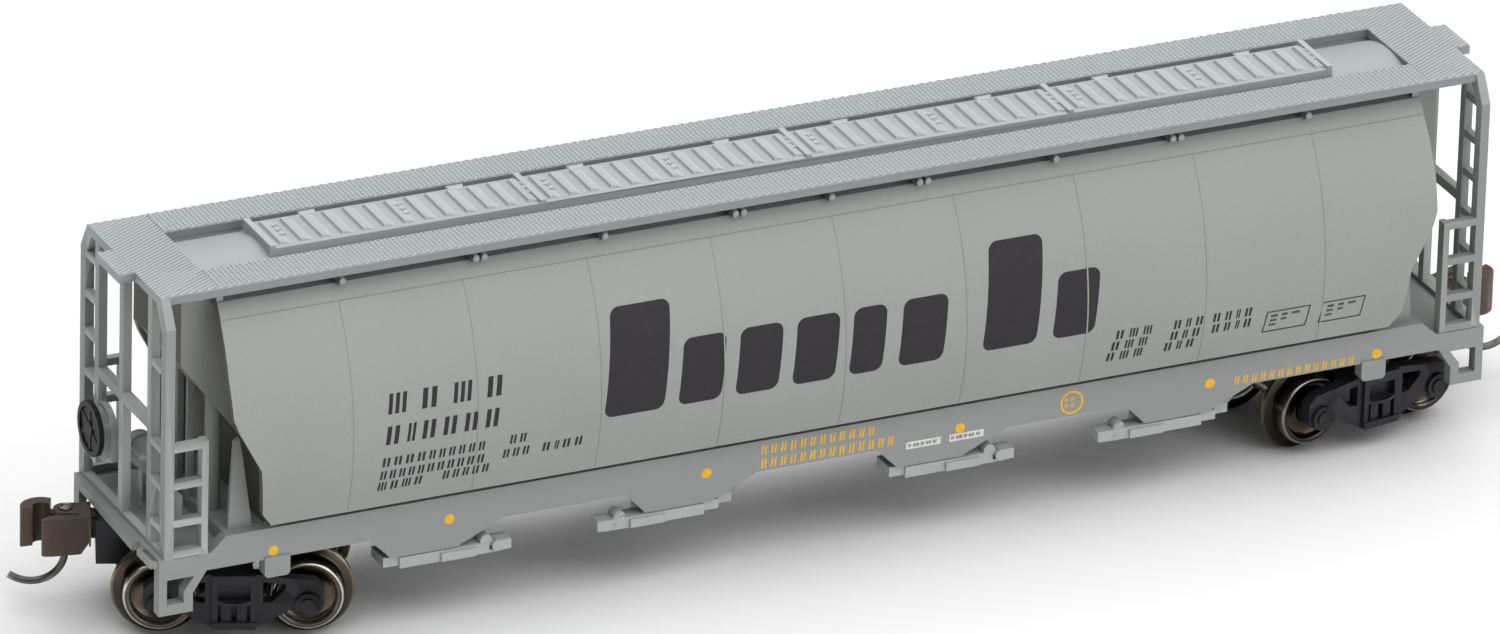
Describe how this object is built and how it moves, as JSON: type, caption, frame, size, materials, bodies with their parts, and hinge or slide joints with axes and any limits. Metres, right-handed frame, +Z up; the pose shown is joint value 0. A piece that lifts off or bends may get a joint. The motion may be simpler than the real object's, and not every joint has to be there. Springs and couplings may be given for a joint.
{
  "type": "model covered hopper car",
  "caption": "Scale model railway covered hopper car with curved sides, end cages with ladders, roof hatches, outlet gates, swivelling trucks, metal wheels and knuckle couplers.",
  "frame": {"origin": "on the centre line midway between the truck centres, in the plane of the lowest points of the wheel flanges", "axes": "+X along the car towards end b, +Y across the car, +Z up"},
  "size_m": [0.1264, 0.0204, 0.0313],
  "materials": {
    "body_grey": "satin painted",
    "roof_grey": "satin moulded",
    "frame_grey": "satin moulded",
    "truck_black": "satin moulded",
    "wheel_metal": "blackened with bright edges",
    "axle_metal": "blackened",
    "coupler_brown": "satin moulded",
    "pin_steel": "blackened wire",
    "spring_steel": "bright wire",
    "ballast_steel": "plain",
    "brake_black": "satin moulded",
    "print_black": "pad printed ink",
    "print_yellow": "pad printed ink",
    "print_white": "pad printed ink"
  },
  "bodies": {
    "car": {"body_shell": "body_grey", "ballast_weight": "ballast_steel", "roof_walk": "roof_grey", "roof_hatches": "roof_grey", "underframe": "frame_grey", "outlet_gate_1": "frame_grey", "outlet_gate_2": "frame_grey", "outlet_gate_3": "frame_grey", "outlet_gate_4": "frame_grey", "end_cage_a": "frame_grey", "kingpin_a": "truck_black", "end_cage_b": "frame_grey", "kingpin_b": "truck_black", "brake_cylinder": "frame_grey"},
    "truck_a": {"truck_frame_a": "truck_black", "coupler_cover_a": "truck_black", "centering_spring_a": "spring_steel"},
    "wheelset_a_outer": {"axle_a_outer": "axle_metal", "wheel_a_outer_left": "wheel_metal", "wheel_a_outer_right": "wheel_metal"},
    "wheelset_a_inner": {"axle_a_inner": "axle_metal", "wheel_a_inner_left": "wheel_metal", "wheel_a_inner_right": "wheel_metal"},
    "coupler_unit_a": {"coupler_a": "coupler_brown"},
    "knuckle_unit_a": {"knuckle_a": "coupler_brown", "trip_pin_a": "pin_steel"},
    "truck_b": {"truck_frame_b": "truck_black", "coupler_cover_b": "truck_black", "centering_spring_b": "spring_steel"},
    "wheelset_b_outer": {"axle_b_outer": "axle_metal", "wheel_b_outer_left": "wheel_metal", "wheel_b_outer_right": "wheel_metal"},
    "wheelset_b_inner": {"axle_b_inner": "axle_metal", "wheel_b_inner_left": "wheel_metal", "wheel_b_inner_right": "wheel_metal"},
    "coupler_unit_b": {"coupler_b": "coupler_brown"},
    "knuckle_unit_b": {"knuckle_b": "coupler_brown", "trip_pin_b": "pin_steel"},
    "hand_brake": {"brake_wheel": "brake_black"}
  },
  "joints": [
    {"name": "truck_swivel_a", "type": "hinge", "parent": "car", "child": "truck_a", "pos_m": [-0.04685, 0, 0.00586], "axis": [0, 0, 1], "range_deg": [-3.55, 46.45]},
    {"name": "axle_spin_a_outer", "type": "hinge", "parent": "truck_a", "child": "wheelset_a_outer", "pos_m": [-0.05209, 0.00206, 0.00372], "axis": [-0.3657, -0.9307, 0], "continuous": true},
    {"name": "axle_spin_a_inner", "type": "hinge", "parent": "truck_a", "child": "wheelset_a_inner", "pos_m": [-0.04161, -0.00206, 0.00372], "axis": [-0.3657, -0.9307, 0], "continuous": true},
    {"name": "coupler_swing_a", "type": "hinge", "parent": "truck_a", "child": "coupler_unit_a", "pos_m": [-0.0543, 0.00293, 0.00706], "axis": [0, 0, 1], "range_deg": [-10, 10], "stiffness_Nm_per_rad": 0.00005},
    {"name": "knuckle_open_a", "type": "hinge", "parent": "coupler_unit_a", "child": "knuckle_unit_a", "pos_m": [-0.0586, 0.00483, 0.00686], "axis": [0, 0, -1], "range_deg": [0, 25], "stiffness_Nm_per_rad": 0.00002},
    {"name": "truck_swivel_b", "type": "hinge", "parent": "car", "child": "truck_b", "pos_m": [0.04685, 0, 0.00586], "axis": [0, 0, 1], "range_deg": [-35.13, 14.87]},
    {"name": "axle_spin_b_outer", "type": "hinge", "parent": "truck_b", "child": "wheelset_b_outer", "pos_m": [0.05239, 0.00099, 0.00372], "axis": [-0.1759, 0.9844, 0], "continuous": true},
    {"name": "axle_spin_b_inner", "type": "hinge", "parent": "truck_b", "child": "wheelset_b_inner", "pos_m": [0.04131, -0.00099, 0.00372], "axis": [-0.1759, 0.9844, 0], "continuous": true},
    {"name": "coupler_swing_b", "type": "hinge", "parent": "truck_b", "child": "coupler_unit_b", "pos_m": [0.05473, 0.00141, 0.00706], "axis": [0, 0, 1], "range_deg": [-10, 10], "stiffness_Nm_per_rad": 0.00005},
    {"name": "knuckle_open_b", "type": "hinge", "parent": "coupler_unit_b", "child": "knuckle_unit_b", "pos_m": [0.05939, 0.00204, 0.00686], "axis": [0, 0, -1], "range_deg": [0, 25], "stiffness_Nm_per_rad": 0.00002},
    {"name": "brake_wheel_turn", "type": "hinge", "parent": "car", "child": "hand_brake", "pos_m": [-0.0569, 0.0035, 0.01541], "axis": [-1, 0, 0], "continuous": true}
  ]
}
